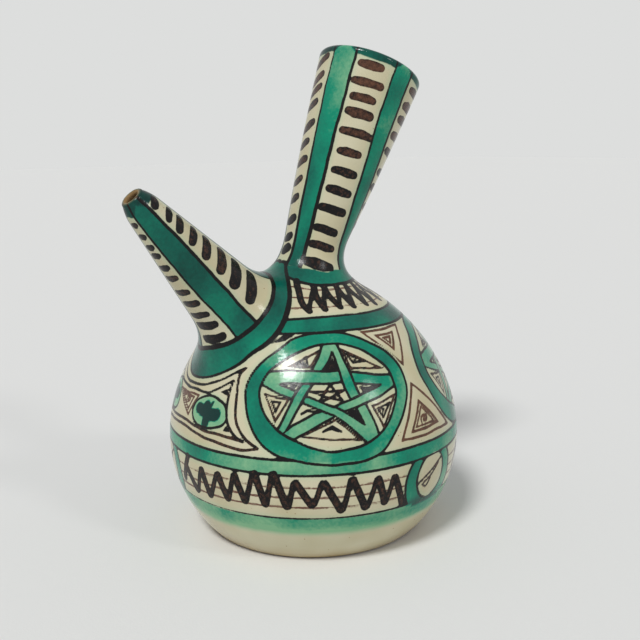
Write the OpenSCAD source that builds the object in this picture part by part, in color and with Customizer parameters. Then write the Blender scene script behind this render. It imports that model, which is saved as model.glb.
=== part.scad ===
// Earthenware drinking jug: a round thrown body, a wide neck that leans back to
// fill and hold it by, and a conical spout that pours a thin stream. Neck and
// spout are thrown apart, set over holes in the body and luted on with clay that
// is smoothed into a flowing collar. Millimetres, +Z up, spout along -X, origin
// at the middle of the resting face.

/* [Body] */
// Largest outside diameter of the body
body_d = 134; // [120:1:150]
// Height of the widest line above the resting face
belly_z = 43; // [40:0.5:47]
// Radius of the arc that shapes the belly in section
belly_r = 60; // [56:1:63]
// Radius of the flatter arc that shapes the shoulder in section
shoulder_r = 85; // [80:1:92]
// Angle above level at which the belly arc hands over to the shoulder arc
shoulder_a = 17.5; // [14:0.5:20]
// Wall thickness of the body
body_wall = 5; // [4:0.5:7]
// Thickness of the floor
floor_t = 6; // [5:0.5:9]
// Rounding of the foot's outside edge
heel_r = 3; // [1:0.5:5]
// Rounding between floor and wall inside
inside_r = 14; // [8:1:18]

/* [Neck] */
// Lean of the neck from upright, away from the spout
neck_lean = 24; // [18:0.5:28]
// Height at which the neck's axis crosses the body's axis
neck_z = 126; // [123:0.5:129]
// Length along the neck's axis from that crossing to the mouth
neck_len = 90; // [75:1:105]
// Outside diameter of the neck at that crossing
neck_d = 26; // [24:0.5:28]
// Outside diameter of the mouth
mouth_d = 48.5; // [42:0.5:54]
// How far the neck's side swells past a straight taper
neck_swell = 0.6; // [0:0.1:1.2]
// Wall thickness of the neck
neck_wall = 4; // [3:0.5:5]

/* [Spout] */
// Rise of the spout's axis above level
spout_rise = 47.5; // [44:0.5:51]
// Distance of the spout's tip from the body's axis
tip_x = 88; // [84:0.5:92]
// Height of the spout's tip
tip_z = 155.5; // [152:0.5:159]
// Outside diameter of the tip
tip_d = 9; // [8:0.2:10]
// Diameter at which the spout's straight taper would reach the tip
taper_d = 12.4; // [11:0.2:13]
// Growth of the spout's radius for each millimetre towards the body
taper = 0.17; // [0.15:0.005:0.18]
// Length of the rounded nose behind the tip
nose_len = 8; // [5:0.5:12]
// Diameter of the pouring hole
pour_d = 5.2; // [4:0.2:6]
// Growth of the bore's radius for each millimetre towards the body
bore_taper = 0.16; // [0.13:0.005:0.165]

/* [Luted joints] */
// How far the clay is smoothed out from each joint
lute_w = 18; // [12:0.5:20]
// Hole cut in the body under the neck
neck_hole_d = 14; // [10:0.5:16]
// Hole cut in the body under the spout
spout_hole_d = 20; // [12:0.5:26]

/* [Hidden] */
$fn = 128;

cream = "#d9d2ad";
green = "#1f8264";

// The two arcs of the body's section share a normal where they meet.
belly_c = [body_d / 2 - belly_r, belly_z];
shoulder_c = belly_c + (belly_r - shoulder_r) * [cos(shoulder_a), sin(shoulder_a)];

// Each tube has its foot on its axis, a unit vector out along that axis and one
// square to it in the plane of symmetry.
neck_o = [0, 0, neck_z];
neck_v = [sin(neck_lean), 0, cos(neck_lean)];
neck_u = [cos(neck_lean), 0, -sin(neck_lean)];
spout_len = 75;
spout_v = [-cos(spout_rise), 0, sin(spout_rise)];
spout_u = [sin(spout_rise), 0, cos(spout_rise)];
spout_o = [-tip_x, 0, tip_z] - spout_len * spout_v;
side = [0, 1, 0];

// Collars are drawn in this many sections round the tube and steps across.
sections = 60;
steps = 10;
feather = 0.12;
seat = 0.8;

// Outside radius of the neck and of the spout, s along the axis from the foot.
function neck_r(s) =
    let (u = s / neck_len)
    neck_d / 2 + (mouth_d - neck_d) / 2 * u + neck_swell * sin(180 * max(u, 0));
function nose(t) = let (u = max(1 - t / nose_len, 0)) (taper_d - tip_d) / 2 * u * u;
function spout_r(s) = let (t = spout_len - s) taper_d / 2 + taper * t - nose(t);
function bore_r(s) = pour_d / 2 + bore_taper * (spout_len - s);

// Distance of a point from the outside of the body, the neck and the spout.
function body_gap(p) =
    let (r = norm([p.x, p.y]), a = [r, p.z] - belly_c)
    atan2(a.y, a.x) > shoulder_a
        ? norm([r, p.z] - shoulder_c) - shoulder_r
        : norm(a) - belly_r;
function tube_r(tube, s) = tube == "neck" ? neck_r(s) : spout_r(s);
function tube_o(tube) = tube == "neck" ? neck_o : spout_o;
function tube_v(tube) = tube == "neck" ? neck_v : spout_v;
function tube_u(tube) = tube == "neck" ? neck_u : spout_u;
function tube_gap(tube, p) =
    let (q = p - tube_o(tube), s = q * tube_v(tube))
    0.99 * (norm(q - s * tube_v(tube)) - tube_r(tube, s));
function other(tube) = tube == "neck" ? "spout" : "neck";

// Two distances run into one another over a width, as a thumb smooths clay.
function smooth(a, b) = let (h = max(1 - abs(a - b) / lute_w, 0)) min(a, b) - h * h * lute_w / 4;
function skin_gap(p) =
    smooth(smooth(body_gap(p), tube_gap("neck", p)), tube_gap("spout", p));

// A point on the outside of a tube, and where its wall runs into the body.
function radial(tube, a) = cos(a) * tube_u(tube) + sin(a) * side;
function wall(tube, a, s) = tube_o(tube) + s * tube_v(tube) + tube_r(tube, s) * radial(tube, a);
function foot(tube, a, lo = -45, hi = 30, n = 30) =
    let (m = (lo + hi) / 2)
    n == 0 ? m
    : body_gap(wall(tube, a, m)) > 0 ? foot(tube, a, lo, m, n - 1) : foot(tube, a, m, hi, n - 1);

// From the corner at a tube's foot, how far the smoothed clay reaches that way.
function reach(c, d, l = 0) = skin_gap(c + l * d) > 0 || l > 50 ? refine(c, d, l - 2, l) : reach(c, d, l + 2);
function refine(c, d, lo, hi, n = 24) =
    let (m = (lo + hi) / 2)
    n == 0 ? m : skin_gap(c + m * d) > 0 ? refine(c, d, lo, m, n - 1) : refine(c, d, m, hi, n - 1);
function fan(c, up, out, a) = let (d = cos(a) * up + sin(a) * out) c + reach(c, d) * d;

// The fan of directions ends where the clay has feathered out on the tube, and
// on the body or halfway to the other tube.
function on_tube(tube, p) = tube_gap(tube, p) < feather;
function past(tube, p) = body_gap(p) < feather || tube_gap(tube, p) > tube_gap(other(tube), p) - 0.2;
function first_a(tube, c, up, out, a = 60) =
    a < -10 || on_tube(tube, fan(c, up, out, a)) ? near_a(tube, c, up, out, a, a + 4) : first_a(tube, c, up, out, a - 4);
function near_a(tube, c, up, out, lo, hi, n = 16) =
    let (m = (lo + hi) / 2)
    n == 0 ? hi
    : on_tube(tube, fan(c, up, out, m)) ? near_a(tube, c, up, out, m, hi, n - 1) : near_a(tube, c, up, out, lo, m, n - 1);
function last_a(tube, c, up, out, a) =
    a > 180 || past(tube, fan(c, up, out, a)) ? far_a(tube, c, up, out, a - 4, a) : last_a(tube, c, up, out, a + 4);
function far_a(tube, c, up, out, lo, hi, n = 16) =
    let (m = (lo + hi) / 2)
    n == 0 ? lo
    : past(tube, fan(c, up, out, m)) ? far_a(tube, c, up, out, lo, m, n - 1) : far_a(tube, c, up, out, m, hi, n - 1);

// A point sunk a little way under the body's or the tube's outside.
function body_out(p) =
    let (r = norm([p.x, p.y]), a = [r, p.z] - belly_c,
        q = atan2(a.y, a.x) > shoulder_a ? [r, p.z] - shoulder_c : a, n = q / norm(q))
    [n.x * p.x / r, n.x * p.y / r, n.y];
function sunk(p) = p - (body_gap(p) + seat) * body_out(p);
function walled(tube, p) =
    let (q = p - tube_o(tube), s = q * tube_v(tube), w = q - s * tube_v(tube))
    p - (norm(w) - tube_r(tube, s) + seat) * w / norm(w);

// One closed section of a collar: the smoothed face, then back under the body
// and up inside the tube's wall.
function section(tube, a) =
    let (
        s = foot(tube, a),
        c = wall(tube, a, s),
        up = (wall(tube, a, s + 10) - c) / norm(wall(tube, a, s + 10) - c),
        w = radial(tube, a) - (radial(tube, a) * up) * up,
        out = w / norm(w),
        a0 = first_a(tube, c, up, out),
        a1 = last_a(tube, c, up, out, a0 + 8),
        face = [for (i = [0 : steps]) fan(c, up, out, a0 + (a1 - a0) * i / steps)],
        end = sunk(face[steps]),
        low = walled(tube, sunk(c))
    )
    concat(face, [for (i = [0 : 3]) sunk(end + (c - end) * i / 4)], [low, walled(tube, (2 * c + face[0]) / 3),
        walled(tube, face[0])]);

// Sections joined into one ring.
module ring(loops) {
    n = len(loops);
    m = len(loops[0]);
    polyhedron(
        points = [for (l = loops) each l],
        faces = [
            for (i = [0 : n - 1], j = [0 : m - 1])
                let (a = i * m, b = ((i + 1) % n) * m, k = (j + 1) % m)
                each [[a + j, b + j, b + k], [a + j, b + k, a + k]]
        ],
        convexity = 6
    );
}
module collar(tube) ring([for (i = [0 : sections - 1]) section(tube, 360 * i / sections)]);

// Half section of the body, drawn in by a wall's thickness, cut level at a floor
// and rounded where floor and wall meet.
module half_section(inset, floor_z, round_r) {
    ra = belly_r - inset - round_r;
    c = [belly_c.x + sqrt(ra * ra - pow(belly_z - floor_z - round_r, 2)), floor_z + round_r];
    d = (c - belly_c) / norm(c - belly_c);
    difference() {
        intersection() {
            union() {
                intersection() {
                    translate(belly_c) circle(belly_r - inset);
                    translate(belly_c) rotate(shoulder_a) translate([-300, -300]) square([600, 300]);
                }
                intersection() {
                    translate(shoulder_c) circle(shoulder_r - inset);
                    translate(belly_c) rotate(shoulder_a) translate([-300, 0]) square([600, 300]);
                }
            }
            translate([0, floor_z]) square([200, 200]);
        }
        difference() {
            polygon([c, c + [0, -3 * round_r], c + 3 * round_r * ([0, -1] + d), c + 3 * round_r * d]);
            translate(c) circle(round_r);
        }
    }
}
module body_outside() rotate_extrude() half_section(0, 0, heel_r);

// Place a solid drawn upright along a tube's axis.
module on_neck() translate(neck_o) rotate([0, neck_lean, 0]) children();
module on_spout() translate(spout_o) rotate([0, spout_rise - 90, 0]) children();

// Outside profiles of the tubes from a depth below the foot, as points.
function neck_side(lo, hi, n = 14) =
    concat([[neck_r(lo), lo]], [for (i = [0 : n]) [neck_r(hi * i / n), hi * i / n]]);
function spout_side(lo, hi, n = 8) =
    concat([[spout_r(lo), lo]], [for (i = [0 : n]) let (s = hi - nose_len * (1 - i / n)) [spout_r(s), s]]);

// The tubes without their bores, to cut the collars to.
module neck_outside()
    on_neck() rotate_extrude() polygon(concat([[0, -30]], neck_side(-30, neck_len - 2), [[0, neck_len - 2]]));
module spout_outside()
    on_spout() rotate_extrude() polygon(concat([[0, -20]], spout_side(-20, spout_len - 2), [[0, spout_len - 2]]));

module body()
    color(cream)
    difference() {
        body_outside();
        rotate_extrude() half_section(body_wall, floor_t, inside_r);
        on_neck() translate([0, 0, -30]) cylinder(d = neck_hole_d, h = 40);
        on_spout() translate([0, 0, -16]) cylinder(d = spout_hole_d, h = 30);
    }

// The mouth ends in a full round.
module neck() {
    hi = neck_len - neck_wall / 2;
    outer = neck_side(-30, hi);
    inner = [for (i = [len(outer) - 1 : -1 : 0]) outer[i] - [neck_wall, 0]];
    color(cream)
    difference() {
        on_neck() rotate_extrude() {
            polygon(concat(outer, inner));
            translate([neck_r(hi) - neck_wall / 2, hi]) circle(d = neck_wall);
        }
        body_outside();
    }
}

// The tip ends in a round as thick as its wall.
module spout() {
    rim = 1.15;
    hi = spout_len - rim;
    color(cream)
    difference() {
        on_spout() rotate_extrude() {
            polygon(concat(spout_side(-20, hi), [[bore_r(hi), hi], [bore_r(-20), -20]]));
            translate([(spout_r(hi) + bore_r(hi)) / 2, hi]) circle(rim);
        }
        body_outside();
    }
}

module neck_collar()
    color(green)
    difference() {
        collar("neck");
        body_outside();
        neck_outside();
    }

module spout_collar()
    color(green)
    difference() {
        collar("spout");
        body_outside();
        spout_outside();
    }

body();
neck();
spout();
neck_collar();
spout_collar();
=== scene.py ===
import math
import bpy
import numpy as np
from mathutils import Matrix, Vector


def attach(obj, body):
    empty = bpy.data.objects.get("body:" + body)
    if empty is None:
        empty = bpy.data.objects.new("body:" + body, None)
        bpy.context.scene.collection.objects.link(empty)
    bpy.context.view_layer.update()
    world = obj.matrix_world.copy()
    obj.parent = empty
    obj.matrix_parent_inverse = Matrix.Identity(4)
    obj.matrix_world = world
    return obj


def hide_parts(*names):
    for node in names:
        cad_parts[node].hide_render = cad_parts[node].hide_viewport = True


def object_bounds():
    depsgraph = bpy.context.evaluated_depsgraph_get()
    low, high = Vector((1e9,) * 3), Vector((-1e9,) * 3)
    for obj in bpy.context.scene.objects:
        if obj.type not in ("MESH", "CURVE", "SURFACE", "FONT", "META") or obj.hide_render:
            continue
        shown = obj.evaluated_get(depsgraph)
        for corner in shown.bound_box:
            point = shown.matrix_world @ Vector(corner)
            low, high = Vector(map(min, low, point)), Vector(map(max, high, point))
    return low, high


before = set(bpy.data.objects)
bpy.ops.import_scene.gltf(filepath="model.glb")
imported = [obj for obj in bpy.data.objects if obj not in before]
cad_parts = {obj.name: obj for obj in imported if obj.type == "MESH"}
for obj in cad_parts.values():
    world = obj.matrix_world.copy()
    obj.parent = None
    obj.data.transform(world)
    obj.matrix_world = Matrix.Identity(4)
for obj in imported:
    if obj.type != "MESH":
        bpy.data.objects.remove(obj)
cadLow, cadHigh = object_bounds()
mm = 0.001
fullTurn = 2 * math.pi
print("frame loaded")

# camera where the photograph was taken from, millimetres and degrees
photoCamera = {"place": (-251.8, -328.5, 176.6), "heading": -38.0, "tilt": 78.78, "roll": -0.86,
               "lens": 51.4, "sensor": 36.0}
bpy.ops.object.camera_add(location=[v * mm for v in photoCamera["place"]])
camera = bpy.context.object
turnTo = Matrix.Rotation(math.radians(photoCamera["heading"]), 3, "Z")
turnTo = turnTo @ Matrix.Rotation(math.radians(photoCamera["tilt"]), 3, "X")
turnTo = turnTo @ Matrix.Rotation(math.radians(photoCamera["roll"]), 3, "Z")
camera.rotation_euler = turnTo.to_euler()
camera.data.lens = photoCamera["lens"]
camera.data.sensor_width = photoCamera["sensor"]
camera.data.clip_start = 0.01
bpy.context.scene.camera = camera
print("camera set")

# thrown shapes, millimetres and degrees, the same as the solids
bodyShape = {"width": 134.0, "bellyHeight": 43.0, "bellyArc": 60.0, "shoulderArc": 85.0, "shoulderTurn": 17.5,
             "wall": 5.0, "floor": 6.0, "heel": 3.0, "insideRound": 14.0,
             "neckHole": (14.0, -30, 8), "spoutHole": (20.0, -20, 12),  # width, and along the tube from, to
             "steps": 600, "insideSteps": 72, "insideRows": 30, "lastRow": 1.3,
             "rows": ((0, 4), (15, 9), (28, 20), (50, 84), (112, 30), (145, 5))}  # from an arc, how many
neckShape = {"lean": 24.0, "height": 126.0, "length": 90.0, "foot": 26.0, "mouth": 48.5, "swell": 0.6,
             "wall": 4.0, "steps": 220, "row": 0.65}
spoutShape = {"rise": 47.5, "tipOut": 88.0, "tipHeight": 155.5, "length": 75.0, "tip": 9.0, "taperEnd": 12.4,
              "taper": 0.17, "nose": 8.0, "hole": 5.2, "boreTaper": 0.16, "rim": 1.15, "steps": 180,
              "row": 0.6}
luteShape = {"width": 18.0, "feather": 0.03, "flare": 0.99, "seat": 0.05, "sink": 0.5, "skirt": (0.6, 1.2),
             "dip": 0.35, "across": 46, "sweepStep": 2.0, "sweepSteps": 30, "underRows": (0.0, 0.3, 0.6),
             "wallRow": 0.4, "turnStep": 3, "tubeSearch": (-8, 24), "bodySearch": (6, 60),
             "neckTurns": ((0, 125, 66), (125, 180, 54)),  # degrees from, to, and steps
             "spoutTurns": ((0, 34, 24), (34, 50, 30), (50, 180, 72))}

bellyMid = np.array([bodyShape["width"] / 2 - bodyShape["bellyArc"], bodyShape["bellyHeight"]])
shoulderTurn = math.radians(bodyShape["shoulderTurn"])
shoulderMid = bellyMid + (bodyShape["bellyArc"] - bodyShape["shoulderArc"]) * np.array(
    [math.cos(shoulderTurn), math.sin(shoulderTurn)])
lean = math.radians(neckShape["lean"])
rise = math.radians(spoutShape["rise"])
neckAxis = np.array([math.sin(lean), 0, math.cos(lean)])
neckAcross = np.array([math.cos(lean), 0, -math.sin(lean)])
neckFoot = np.array([0, 0, neckShape["height"]])
spoutAxis = np.array([-math.cos(rise), 0, math.sin(rise)])
spoutAcross = np.array([math.sin(rise), 0, math.cos(rise)])
spoutTip = np.array([-spoutShape["tipOut"], 0, spoutShape["tipHeight"]])
spoutFoot = spoutTip - spoutShape["length"] * spoutAxis
sideways = np.array([0.0, 1.0, 0.0])


def neckRadius(along):
    share = along / neckShape["length"]
    grow = (neckShape["mouth"] - neckShape["foot"]) / 2
    return neckShape["foot"] / 2 + grow * share + neckShape["swell"] * np.sin(np.pi * np.maximum(share, 0))


def spoutRadius(along):
    back = spoutShape["length"] - along
    nose = np.maximum(1 - back / spoutShape["nose"], 0) ** 2
    narrowing = (spoutShape["taperEnd"] - spoutShape["tip"]) / 2
    return spoutShape["taperEnd"] / 2 + spoutShape["taper"] * back - nose * narrowing


def boreRadius(along):
    return spoutShape["hole"] / 2 + spoutShape["boreTaper"] * (spoutShape["length"] - along)


neckTube = {"foot": neckFoot, "axis": neckAxis, "across": neckAcross, "radius": neckRadius}
spoutTube = {"foot": spoutFoot, "axis": spoutAxis, "across": spoutAcross, "radius": spoutRadius}


def bodyGap(p):  # distance of points from the outside of the thrown body
    out = np.hypot(p[..., 0], p[..., 1])
    onBelly = np.hypot(out - bellyMid[0], p[..., 2] - bellyMid[1]) - bodyShape["bellyArc"]
    onShoulder = np.hypot(out - shoulderMid[0], p[..., 2] - shoulderMid[1]) - bodyShape["shoulderArc"]
    above = np.arctan2(p[..., 2] - bellyMid[1], out - bellyMid[0]) > shoulderTurn
    return np.where(above, onShoulder, onBelly)


def tubeParts(tube, p):  # along the axis, and out from it
    q = p - tube["foot"]
    along = q @ tube["axis"]
    return along, np.linalg.norm(q - along[..., None] * tube["axis"], axis=-1)


def tubeGap(tube, p):  # the wall flares, so its distance is a little less than along the radius
    along, out = tubeParts(tube, p)
    return luteShape["flare"] * (out - tube["radius"](along))


def lute(a, b, width=luteShape["width"]):  # two shapes run into one another, as a thumb smooths clay
    shared = np.maximum(1 - np.abs(a - b) / width, 0)
    return np.minimum(a, b) - shared * shared * width / 4


def skinGap(p):
    return lute(lute(bodyGap(p), tubeGap(neckTube, p)), tubeGap(spoutTube, p))


def slopeOf(field, p):  # which way a field grows
    step = 0.02
    return np.stack([field(p + step * way) - field(p - step * way) for way in np.eye(3)], -1) / (2 * step)


def unit(ways):
    return ways / np.linalg.norm(ways, axis=-1, keepdims=True)


def ringWay(tube, turn):  # straight out from a tube's axis
    return np.cos(turn)[..., None] * tube["across"] + np.sin(turn)[..., None] * sideways


def tubeWall(tube, turn, along, radiusAt=None):
    wide = (radiusAt or tube["radius"])(along)
    return tube["foot"] + along[..., None] * tube["axis"] + wide[..., None] * ringWay(tube, turn)


def halve(low, high, isHigh, rounds=26):  # bisection for whole arrays
    for _ in range(rounds):
        middle = (low + high) / 2
        over = isHigh(middle)
        high = np.where(over, middle, high)
        low = np.where(over, low, middle)
    return low, high


def bodyPoint(arc):  # section of the body's outside by arc length from the foot: radius, height
    firstTurn = -math.asin(bodyShape["bellyHeight"] / bodyShape["bellyArc"])
    joint = bodyShape["bellyArc"] * (shoulderTurn - firstTurn)
    low = firstTurn + arc / bodyShape["bellyArc"]
    high = shoulderTurn + (arc - joint) / bodyShape["shoulderArc"]
    onBelly = arc < joint
    radius = np.where(onBelly, bellyMid[0] + bodyShape["bellyArc"] * np.cos(low),
                      shoulderMid[0] + bodyShape["shoulderArc"] * np.cos(high))
    height = np.where(onBelly, bellyMid[1] + bodyShape["bellyArc"] * np.sin(low),
                      shoulderMid[1] + bodyShape["shoulderArc"] * np.sin(high))
    return radius, height


topTurn = math.acos(-shoulderMid[0] / bodyShape["shoulderArc"])
footTurn = math.asin(bodyShape["bellyHeight"] / bodyShape["bellyArc"])
topArc = (bodyShape["bellyArc"] * (shoulderTurn + footTurn)
          + bodyShape["shoulderArc"] * (topTurn - shoulderTurn))


def arcAt(height):  # arc length up the body's outside for a height
    arcs = np.linspace(0, topArc, 1600)
    return np.interp(height, bodyPoint(arcs)[1], arcs)


def deselectAll():
    if bpy.context.object and bpy.context.object.mode != "OBJECT":
        bpy.ops.object.mode_set(mode="OBJECT")
    bpy.ops.object.select_all(action="DESELECT")


def spun(name, section, tube, steps, isOpen=False, inward=False):  # a section's points, spun
    deselectAll()
    bpy.ops.mesh.primitive_circle_add(vertices=len(section), radius=10 * mm, fill_type="NOTHING")
    piece = bpy.context.object
    piece.name = name
    piece.data.name = name
    laid = tube["foot"] + section[:, 1:2] * tube["axis"] + section[:, :1] * tube["across"]
    piece.data.vertices.foreach_set("co", (laid * mm).ravel())
    bpy.ops.object.mode_set(mode="EDIT")
    if isOpen:  # the edge that lies on the axis goes
        bpy.ops.mesh.select_all(action="DESELECT")
        bpy.ops.object.mode_set(mode="OBJECT")
        for edge in piece.data.edges:
            edge.select = set(edge.vertices) == {0, len(section) - 1}
        bpy.ops.object.mode_set(mode="EDIT")
        bpy.ops.mesh.select_mode(type="EDGE")
        bpy.ops.mesh.delete(type="EDGE")
    bpy.ops.mesh.select_mode(type="VERT")
    bpy.ops.mesh.select_all(action="SELECT")
    bpy.ops.mesh.spin(steps=steps, angle=fullTurn, use_auto_merge=True,
                      center=tube["foot"] * mm, axis=tube["axis"])
    bpy.ops.mesh.select_all(action="SELECT")
    bpy.ops.mesh.remove_doubles(threshold=0.002 * mm)
    bpy.ops.mesh.normals_make_consistent(inside=inward)
    bpy.ops.object.mode_set(mode="OBJECT")
    return piece


def places(piece):  # a mesh's points in millimetres
    flat = np.empty(len(piece.data.vertices) * 3, np.float32)
    piece.data.vertices.foreach_get("co", flat)
    return flat.reshape(-1, 3).astype(float) / mm


def setPlaces(piece, points):
    piece.data.vertices.foreach_set("co", (points * mm).astype(np.float32).ravel())
    piece.data.update()


def arcPoints(middle, radius, first, last, count):
    turns = np.linspace(first, last, count)
    return np.stack([middle[0] + radius * np.cos(turns), middle[1] + radius * np.sin(turns)], 1)


# body: outside and inside are spun apart, joined, and pierced under the neck and the spout
upright = {"foot": np.zeros(3), "axis": np.array([0.0, 0, 1]), "across": np.array([1.0, 0, 0])}


def heelMid(inset, floorHeight, rounding):
    reach = bodyShape["bellyArc"] - inset - rounding
    drop = bodyShape["bellyHeight"] - floorHeight - rounding
    return np.array([bellyMid[0] + math.sqrt(reach * reach - drop * drop), floorHeight + rounding])


def bodySection(inset, floorHeight, rounding, baseRows, heelRows, arcRows):
    mid = heelMid(inset, floorHeight, rounding)
    meet = math.atan2(mid[1] - bellyMid[1], mid[0] - bellyMid[0])
    base = np.stack([np.linspace(0, mid[0], baseRows), np.full(baseRows, floorHeight)], 1)
    heel = arcPoints(mid, rounding, -math.pi / 2, meet, heelRows)[1:]
    shoulder = bodyShape["shoulderArc"] - inset
    endTurn = math.acos(-shoulderMid[0] / shoulder)
    belly = bodyShape["bellyArc"] - inset
    length = belly * (shoulderTurn - meet)
    rows = arcRows * (length + shoulder * (endTurn - shoulderTurn))
    low = rows[rows <= length]
    high = rows[rows > length]
    lowTurns = meet + low / belly
    highTurns = shoulderTurn + (high - length) / shoulder
    lowPart = bellyMid + belly * np.stack([np.cos(lowTurns), np.sin(lowTurns)], 1)
    highPart = shoulderMid + shoulder * np.stack([np.cos(highTurns), np.sin(highTurns)], 1)
    section = np.concatenate([base, heel, lowPart[1:], highPart])
    section[-1, 0] = 0.0
    return section


def bodyRows():  # wide rows near the foot and the closed top, close ones where it is painted
    starts = [arc for arc, _ in bodyShape["rows"]] + [topArc - bodyShape["lastRow"]]
    rows = [np.linspace(low, high, count + 1)[:-1]
            for low, high, (_, count) in zip(starts[:-1], starts[1:], bodyShape["rows"])]
    rows = np.concatenate(rows + [[starts[-1]]])
    return rows / rows[-1]


outerSection = bodySection(0, 0, bodyShape["heel"], 6, 5, bodyRows())
innerSection = bodySection(bodyShape["wall"], bodyShape["floor"], bodyShape["insideRound"], 6, 6,
                           np.linspace(0, 1, bodyShape["insideRows"]))
outside = spun("body", outerSection, upright, bodyShape["steps"], isOpen=True)
inside = spun("bodyInside", innerSection, upright, bodyShape["insideSteps"], isOpen=True, inward=True)


def holeCutter(tube, width, low, high):
    deselectAll()
    middle = tube["foot"] + (low + high) / 2 * tube["axis"]
    bpy.ops.mesh.primitive_cylinder_add(vertices=64, radius=width / 2 * mm, depth=(high - low) * mm,
                                        location=middle * mm)
    cutter = bpy.context.object
    cutter.rotation_euler = Vector(tube["axis"]).to_track_quat("Z", "Y").to_euler()
    bpy.ops.object.transform_apply(location=True, rotation=True, scale=True)
    return cutter


def pickOnly(main, *others):
    deselectAll()
    for piece in (main, *others):
        piece.select_set(True)
    bpy.context.view_layer.objects.active = main


def joined(main, *others):
    pickOnly(main, *others)
    bpy.ops.object.join()
    return main


body = joined(outside, inside)
cutters = joined(holeCutter(neckTube, *bodyShape["neckHole"]),
                 holeCutter(spoutTube, *bodyShape["spoutHole"]))
pickOnly(body)
pierce = body.modifiers.new("pierce", "BOOLEAN")
pierce.operation = "DIFFERENCE"
pierce.solver = "EXACT"
pierce.object = cutters
bpy.ops.object.modifier_apply(modifier=pierce.name)
bpy.data.objects.remove(cutters)
print("body spun and pierced", len(body.data.vertices))


# neck and spout: a closed wall section spun round the leaning axis, its foot then set on the body
footReach = (-45.0, 30.0)  # along a tube, where its foot is looked for


def footOnBody(tube, turn, radiusAt, sink):
    def outOfBody(along):
        return bodyGap(tubeWall(tube, turn, along, radiusAt)) > -sink
    low, high = [np.full(turn.shape, end) for end in footReach]
    return halve(low, high, outOfBody)[1]


def seat(piece, tube, insideAt, low, joint):  # slides the lower rows along the axis on to the dome
    points = places(piece)
    along, out = tubeParts(tube, points)
    q = points - tube["foot"]
    turn = np.arctan2(q @ sideways, q @ tube["across"])
    isInside = out < (tube["radius"](along) + insideAt(along)) / 2
    sink = luteShape["seat"]
    foot = np.where(isInside, footOnBody(tube, turn, insideAt, sink),
                    footOnBody(tube, turn, tube["radius"], sink))
    slid = np.where(along < joint, foot + (along - low) * (joint - foot) / (joint - low), along)
    wide = np.where(isInside, insideAt(slid), tube["radius"](slid))
    moved = tube["foot"] + slid[:, None] * tube["axis"] + wide[:, None] * ringWay(tube, turn)
    setPlaces(piece, np.where((along < joint)[:, None], moved, points))


def neckInside(along):
    return neckRadius(along) - neckShape["wall"]


tubeLow = -30.0
tubeJoint = 14.0
lipMid = neckShape["length"] - neckShape["wall"] / 2
neckRows = np.arange(tubeLow, lipMid, neckShape["row"])
lip = arcPoints((neckRadius(lipMid) - neckShape["wall"] / 2, lipMid), neckShape["wall"] / 2, 0, math.pi, 13)
innerRows = np.concatenate([np.arange(lipMid - 1, 40, -1.0), np.linspace(40, tubeLow, 24)])
neckSection = np.concatenate([np.stack([neckRadius(neckRows), neckRows], 1), lip,
                              np.stack([neckInside(innerRows), innerRows], 1)])
neck = spun("neck", neckSection, neckTube, neckShape["steps"])
seat(neck, neckTube, neckInside, tubeLow, tubeJoint)

rimAt = spoutShape["length"] - spoutShape["rim"]
spoutRows = np.arange(tubeLow, rimAt, spoutShape["row"])
rimMid = ((spoutRadius(rimAt) + boreRadius(rimAt)) / 2, rimAt)
rimRound = arcPoints(rimMid, (spoutRadius(rimAt) - boreRadius(rimAt)) / 2, 0, math.pi, 9)
boreRows = np.linspace(rimAt - 1, tubeLow, 40)
spoutSection = np.concatenate([np.stack([spoutRadius(spoutRows), spoutRows], 1), rimRound,
                               np.stack([boreRadius(boreRows), boreRows], 1)])
spout = spun("spout", spoutSection, spoutTube, spoutShape["steps"])
seat(spout, spoutTube, boreRadius, tubeLow, tubeJoint)
print("neck and spout spun", len(neck.data.vertices), len(spout.data.vertices))


# collars: a ring whose section is swept out as the smoothed clay between tube and body
def evenTurns(parts):  # mirrored to a full turn; the ring primitive takes 256 steps at most
    half = np.concatenate([np.linspace(low, high, count + 1)[:-1] for low, high, count in parts])
    return np.radians(np.concatenate([half, [180.0], -half[:0:-1]]))


def ringPiece(name, loops):  # a ring with its points laid on one closed loop for each step round
    deselectAll()
    bpy.ops.mesh.primitive_torus_add(major_segments=loops.shape[0], minor_segments=loops.shape[1],
                                     major_radius=25 * mm, minor_radius=8 * mm)
    piece = bpy.context.object
    piece.name = name
    piece.data.name = name
    setPlaces(piece, loops.reshape(-1, 3))
    bpy.ops.object.mode_set(mode="EDIT")
    bpy.ops.mesh.select_all(action="SELECT")
    bpy.ops.mesh.normals_make_consistent(inside=False)
    bpy.ops.object.mode_set(mode="OBJECT")
    return piece


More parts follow.
